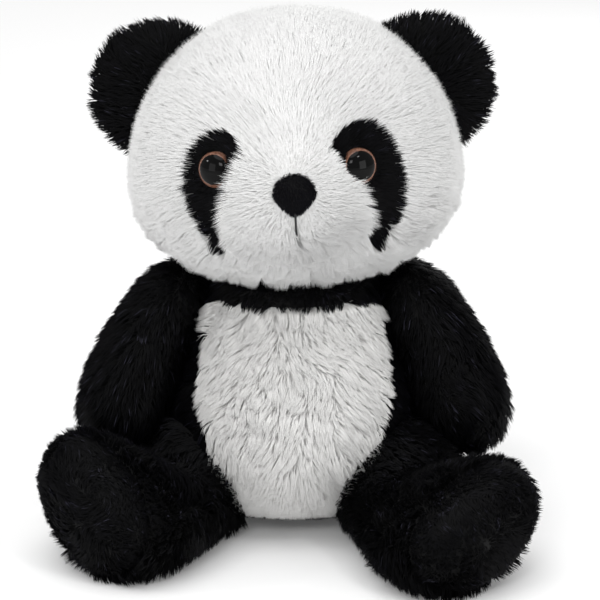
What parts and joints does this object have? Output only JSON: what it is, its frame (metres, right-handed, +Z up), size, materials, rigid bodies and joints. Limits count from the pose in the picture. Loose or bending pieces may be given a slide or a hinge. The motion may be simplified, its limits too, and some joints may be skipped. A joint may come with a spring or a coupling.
{
  "type": "seated plush panda",
  "caption": "Seated plush panda with a turning head, swinging stuffed arms, splaying legs, bending ears and safety eyes; it rests on its flat seat and legs.",
  "frame": {"origin": "on the floor under the middle of the seat, where the flat seat rests", "axes": "+Z up, the panda faces -Y, its own left side is +X"},
  "size_m": [0.2178, 0.1859, 0.2389],
  "materials": {
    "chest_cover": "long black plush pile on a knitted backing",
    "belly_cover": "long white plush pile on a knitted backing",
    "back_cover_left": "long black plush pile on a knitted backing",
    "back_cover_right": "long black plush pile on a knitted backing",
    "seat_cover": "long black plush pile on a knitted backing",
    "body_filling": "loose white polyester fibre",
    "pellet_bag": "plain woven cloth bag of plastic pellets",
    "neck_stuffing": "loose white polyester fibre",
    "closing_stitch": "black sewing thread",
    "sewn_in_label": "blank white satin tape",
    "tail_cover": "long white plush pile on a knitted backing",
    "tail_filling": "loose white polyester fibre",
    "neck_seam_thread": "black sewing thread",
    "face_cover": "long white plush pile on a knitted backing",
    "head_back_cover": "long white plush pile on a knitted backing",
    "muzzle_cover": "long white plush pile on a knitted backing",
    "eye_patch_left": "long black plush pile on a knitted backing",
    "eye_patch_right": "long black plush pile on a knitted backing",
    "head_filling": "loose white polyester fibre",
    "eye_lens_left": "clear polished dome",
    "eye_lens_right": "clear polished dome",
    "eye_back_left": "copper-brown plastic with a wide black pupil",
    "eye_back_right": "copper-brown plastic with a wide black pupil",
    "eye_washer_left": "moulded white washer",
    "eye_washer_right": "moulded white washer",
    "nose": "very short black pile",
    "mouth_stitch": "black sewing thread",
    "ear_front_left": "long black plush pile on a knitted backing",
    "ear_back_left": "long black plush pile on a knitted backing",
    "ear_filling_left": "loose white polyester fibre",
    "arm_outer_left": "long black plush pile on a knitted backing",
    "arm_inner_left": "long black plush pile on a knitted backing",
    "arm_filling_left": "loose white polyester fibre",
    "leg_outer_left": "long black plush pile on a knitted backing",
    "leg_inner_left": "long black plush pile on a knitted backing",
    "sole_left": "shorter black plush pile",
    "leg_filling_left": "loose white polyester fibre",
    "ear_front_right": "long black plush pile on a knitted backing",
    "ear_back_right": "long black plush pile on a knitted backing",
    "ear_filling_right": "loose white polyester fibre",
    "arm_outer_right": "long black plush pile on a knitted backing",
    "arm_inner_right": "long black plush pile on a knitted backing",
    "arm_filling_right": "loose white polyester fibre",
    "leg_outer_right": "long black plush pile on a knitted backing",
    "leg_inner_right": "long black plush pile on a knitted backing",
    "sole_right": "shorter black plush pile",
    "leg_filling_right": "loose white polyester fibre"
  },
  "bodies": {
    "torso": {"chest_cover": "chest_cover", "belly_cover": "belly_cover", "back_cover_left": "back_cover_left", "back_cover_right": "back_cover_right", "seat_cover": "seat_cover", "body_filling": "body_filling", "pellet_bag": "pellet_bag", "neck_stuffing": "neck_stuffing", "closing_stitch": "closing_stitch", "sewn_in_label": "sewn_in_label", "tail_cover": "tail_cover", "tail_filling": "tail_filling"},
    "neck": {"neck_seam_thread": "neck_seam_thread"},
    "head": {"face_cover": "face_cover", "head_back_cover": "head_back_cover", "muzzle_cover": "muzzle_cover", "eye_patch_left": "eye_patch_left", "eye_patch_right": "eye_patch_right", "head_filling": "head_filling", "eye_lens_left": "eye_lens_left", "eye_lens_right": "eye_lens_right", "eye_back_left": "eye_back_left", "eye_back_right": "eye_back_right", "eye_washer_left": "eye_washer_left", "eye_washer_right": "eye_washer_right", "nose": "nose", "mouth_stitch": "mouth_stitch"},
    "ear_left": {"ear_front_left": "ear_front_left", "ear_back_left": "ear_back_left", "ear_filling_left": "ear_filling_left"},
    "arm_left": {"arm_outer_left": "arm_outer_left", "arm_inner_left": "arm_inner_left", "arm_filling_left": "arm_filling_left"},
    "leg_left": {"leg_outer_left": "leg_outer_left", "leg_inner_left": "leg_inner_left", "sole_left": "sole_left", "leg_filling_left": "leg_filling_left"},
    "ear_right": {"ear_front_right": "ear_front_right", "ear_back_right": "ear_back_right", "ear_filling_right": "ear_filling_right"},
    "arm_right": {"arm_outer_right": "arm_outer_right", "arm_inner_right": "arm_inner_right", "arm_filling_right": "arm_filling_right"},
    "leg_right": {"leg_outer_right": "leg_outer_right", "leg_inner_right": "leg_inner_right", "sole_right": "sole_right", "leg_filling_right": "leg_filling_right"}
  },
  "joints": [
    {"name": "neck_turn", "type": "hinge", "parent": "torso", "child": "neck", "pos_m": [0.001, -0.008, 0.148], "axis": [0, 0, 1], "range_deg": [-20, 20], "stiffness_Nm_per_rad": 0.6},
    {"name": "neck_nod", "type": "hinge", "parent": "neck", "child": "head", "pos_m": [0.001, -0.008, 0.148], "axis": [1, 0, 0], "range_deg": [-8, 8], "stiffness_Nm_per_rad": 0.8},
    {"name": "arm_swing_left", "type": "hinge", "parent": "torso", "child": "arm_left", "pos_m": [0.0435, -0.002, 0.1], "axis": [-0.9291, 0, -0.3697], "range_deg": [-12, 75], "stiffness_Nm_per_rad": 0.12},
    {"name": "arm_swing_right", "type": "hinge", "parent": "torso", "child": "arm_right", "pos_m": [-0.0435, -0.002, 0.1], "axis": [-0.9291, 0, 0.3697], "range_deg": [-12, 75], "stiffness_Nm_per_rad": 0.12},
    {"name": "leg_splay_left", "type": "hinge", "parent": "torso", "child": "leg_left", "pos_m": [0.045, -0.035, 0.0276], "axis": [0, 0, 1], "range_deg": [-3, 12], "stiffness_Nm_per_rad": 0.25},
    {"name": "leg_splay_right", "type": "hinge", "parent": "torso", "child": "leg_right", "pos_m": [-0.045, -0.03, 0.0276], "axis": [0, 0, -1], "range_deg": [-3, 12], "stiffness_Nm_per_rad": 0.25},
    {"name": "ear_bend_left", "type": "hinge", "parent": "head", "child": "ear_left", "pos_m": [0, 0, 0], "axis": [0, 0, 1], "range_deg": [-15, 15], "stiffness_Nm_per_rad": 0.02},
    {"name": "ear_bend_right", "type": "hinge", "parent": "head", "child": "ear_right", "pos_m": [0, 0, 0], "axis": [0, 0, 1], "range_deg": [-15, 15], "stiffness_Nm_per_rad": 0.02}
  ]
}
